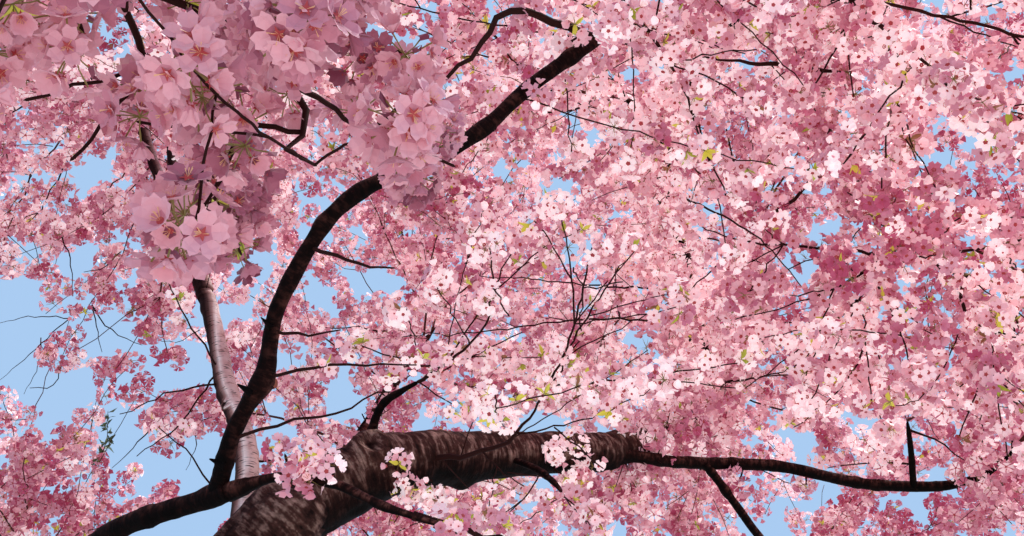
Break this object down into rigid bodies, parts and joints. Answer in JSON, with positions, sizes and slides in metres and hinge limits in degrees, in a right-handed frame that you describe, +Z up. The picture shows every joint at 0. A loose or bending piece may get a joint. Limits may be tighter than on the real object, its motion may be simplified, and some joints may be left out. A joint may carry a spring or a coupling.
{
  "type": "cherry blossom tree",
  "caption": "Flowering cherry tree with a leaning, flared trunk, a long side bough, an upright forked leader and a wide crown of pink blossom.",
  "frame": {"origin": "middle of the flat cut under the trunk, at ground level", "axes": "+Z straight up, +X towards the side the great bough reaches to, +Y away from the side the tree was seen from"},
  "size_m": [8.9024, 9.2462, 7.9307],
  "materials": {
    "bark": "rough grey-brown bark with dark cross marks",
    "blossom": "soft matt petals"
  },
  "bodies": {
    "root": {"trunk": "bark", "great_bough": "bark", "leader": "bark", "leader_left_fork": "bark", "leader_right_fork": "bark", "front_bough": "bark", "front_bough_rise": "bark", "front_bough_spur": "bark", "great_bough_end": "bark", "right_branch": "bark", "right_branch_fork": "bark", "right_branch_stub": "bark", "middle_limb": "bark", "under_bough_limb": "bark", "over_bough": "bark", "over_bough_rise": "bark", "over_bough_drop": "bark", "right_canopy_limb": "bark", "over_bough_side": "bark", "back_bough": "bark", "back_left_limb": "bark", "back_rise": "bark", "left_bough": "bark", "left_rise": "bark", "front_left_limb": "bark", "front_left_rise": "bark", "near_limb": "bark", "top_right_limb": "bark", "top_front_limb": "bark", "near_spray": "blossom", "front_canopy": "blossom", "right_canopy": "blossom", "middle_spray": "blossom", "under_bough_spray": "blossom", "over_bough_blossom": "blossom", "leader_blossom": "blossom", "inner_blossom": "blossom", "skirt_blossom_1": "blossom", "skirt_blossom_2": "blossom", "skirt_blossom_3": "blossom", "skirt_blossom_4": "blossom", "skirt_blossom_5": "blossom", "skirt_blossom_6": "blossom", "skirt_blossom_7": "blossom", "skirt_blossom_8": "blossom", "shoulder_blossom_1": "blossom", "shoulder_blossom_2": "blossom", "shoulder_blossom_3": "blossom", "shoulder_blossom_4": "blossom", "shoulder_blossom_5": "blossom", "shoulder_blossom_6": "blossom", "top_blossom_1": "blossom", "top_blossom_2": "blossom", "top_blossom_3": "blossom"}
  },
  "joints": []
}
